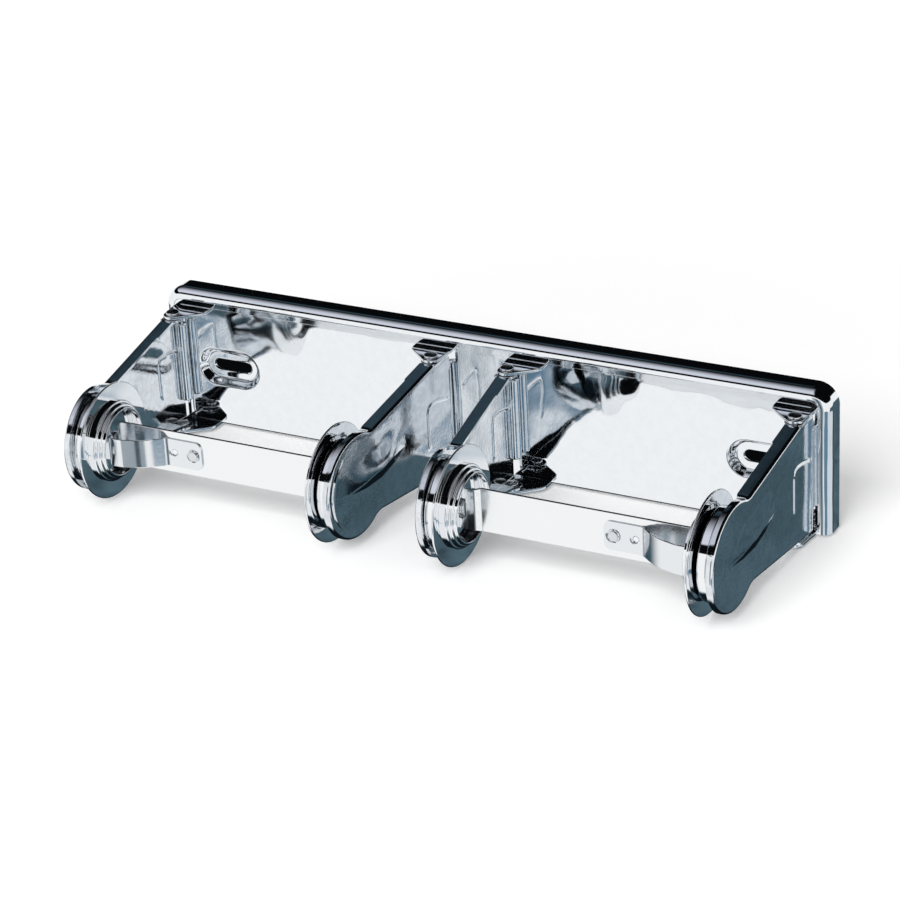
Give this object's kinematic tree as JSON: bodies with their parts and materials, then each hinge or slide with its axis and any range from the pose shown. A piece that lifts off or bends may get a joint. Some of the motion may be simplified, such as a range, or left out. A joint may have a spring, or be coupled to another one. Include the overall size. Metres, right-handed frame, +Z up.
{
  "type": "toilet paper dispenser",
  "caption": "Chromed wall dispenser for toilet rolls side by side, with arms that swing open and turning spindles.",
  "frame": {"origin": "centre of the two screw slots, on the wall plane", "axes": "+X to the right along the plate, +Y back into the wall, +Z up"},
  "size_m": [0.314, 0.1122, 0.0652],
  "materials": {
    "chromed_sheet": "bright chrome plate on pressed steel",
    "bright_strip": "bright plated steel strip",
    "spring_steel": "polished spring steel",
    "rivet_steel": "bright plated steel"
  },
  "bodies": {
    "wall_frame": {"back_plate": "chromed_sheet", "left_outer_hinge_rivets": "rivet_steel", "left_inner_hinge_rivets": "rivet_steel", "right_inner_hinge_rivets": "rivet_steel", "right_outer_hinge_rivets": "rivet_steel", "left_inner_arm": "chromed_sheet", "left_inner_collar": "chromed_sheet", "left_inner_axle": "rivet_steel", "left_inner_washer": "spring_steel", "right_inner_arm": "chromed_sheet", "right_inner_collar": "chromed_sheet", "right_inner_axle": "rivet_steel", "right_inner_washer": "spring_steel"},
    "left_swing_arm": {"left_outer_arm": "chromed_sheet", "left_outer_collar": "chromed_sheet", "left_outer_axle": "rivet_steel", "left_outer_washer": "spring_steel"},
    "left_spindle": {"left_inner_disc": "chromed_sheet", "left_inner_cup": "chromed_sheet", "left_spindle_bar": "bright_strip", "left_leaf_spring": "spring_steel", "left_leaf_rivet": "rivet_steel"},
    "left_end_hub": {"left_outer_disc": "chromed_sheet", "left_outer_cup": "chromed_sheet"},
    "right_swing_arm": {"right_outer_arm": "chromed_sheet", "right_outer_collar": "chromed_sheet", "right_outer_axle": "rivet_steel", "right_outer_washer": "spring_steel"},
    "right_spindle": {"right_inner_disc": "chromed_sheet", "right_inner_cup": "chromed_sheet", "right_spindle_bar": "bright_strip", "right_leaf_spring": "spring_steel", "right_leaf_rivet": "rivet_steel"},
    "right_end_hub": {"right_outer_disc": "chromed_sheet", "right_outer_cup": "chromed_sheet"}
  },
  "joints": [
    {"name": "left_arm_hinge", "type": "hinge", "parent": "wall_frame", "child": "left_swing_arm", "pos_m": [-0.14604, -0.021, 0], "axis": [0, 0, -1], "range_deg": [0, 90]},
    {"name": "left_spindle_turn", "type": "hinge", "parent": "wall_frame", "child": "left_spindle", "pos_m": [-0.0833, -0.087, -0.002], "axis": [1, 0, 0], "continuous": true},
    {"name": "left_hub_turn", "type": "hinge", "parent": "left_swing_arm", "child": "left_end_hub", "pos_m": [-0.134, -0.087, -0.002], "axis": [1, 0, 0], "continuous": true},
    {"name": "right_arm_hinge", "type": "hinge", "parent": "wall_frame", "child": "right_swing_arm", "pos_m": [0.14604, -0.021, 0], "axis": [0, 0, 1], "range_deg": [0, 90]},
    {"name": "right_spindle_turn", "type": "hinge", "parent": "wall_frame", "child": "right_spindle", "pos_m": [0.0833, -0.087, -0.002], "axis": [1, 0, 0], "continuous": true},
    {"name": "right_hub_turn", "type": "hinge", "parent": "right_swing_arm", "child": "right_end_hub", "pos_m": [0.134, -0.087, -0.002], "axis": [1, 0, 0], "continuous": true}
  ],
  "couplings": [
    {"joint": "left_hub_turn", "follows": "left_spindle_turn", "ratio": 1},
    {"joint": "right_hub_turn", "follows": "right_spindle_turn", "ratio": 1}
  ]
}
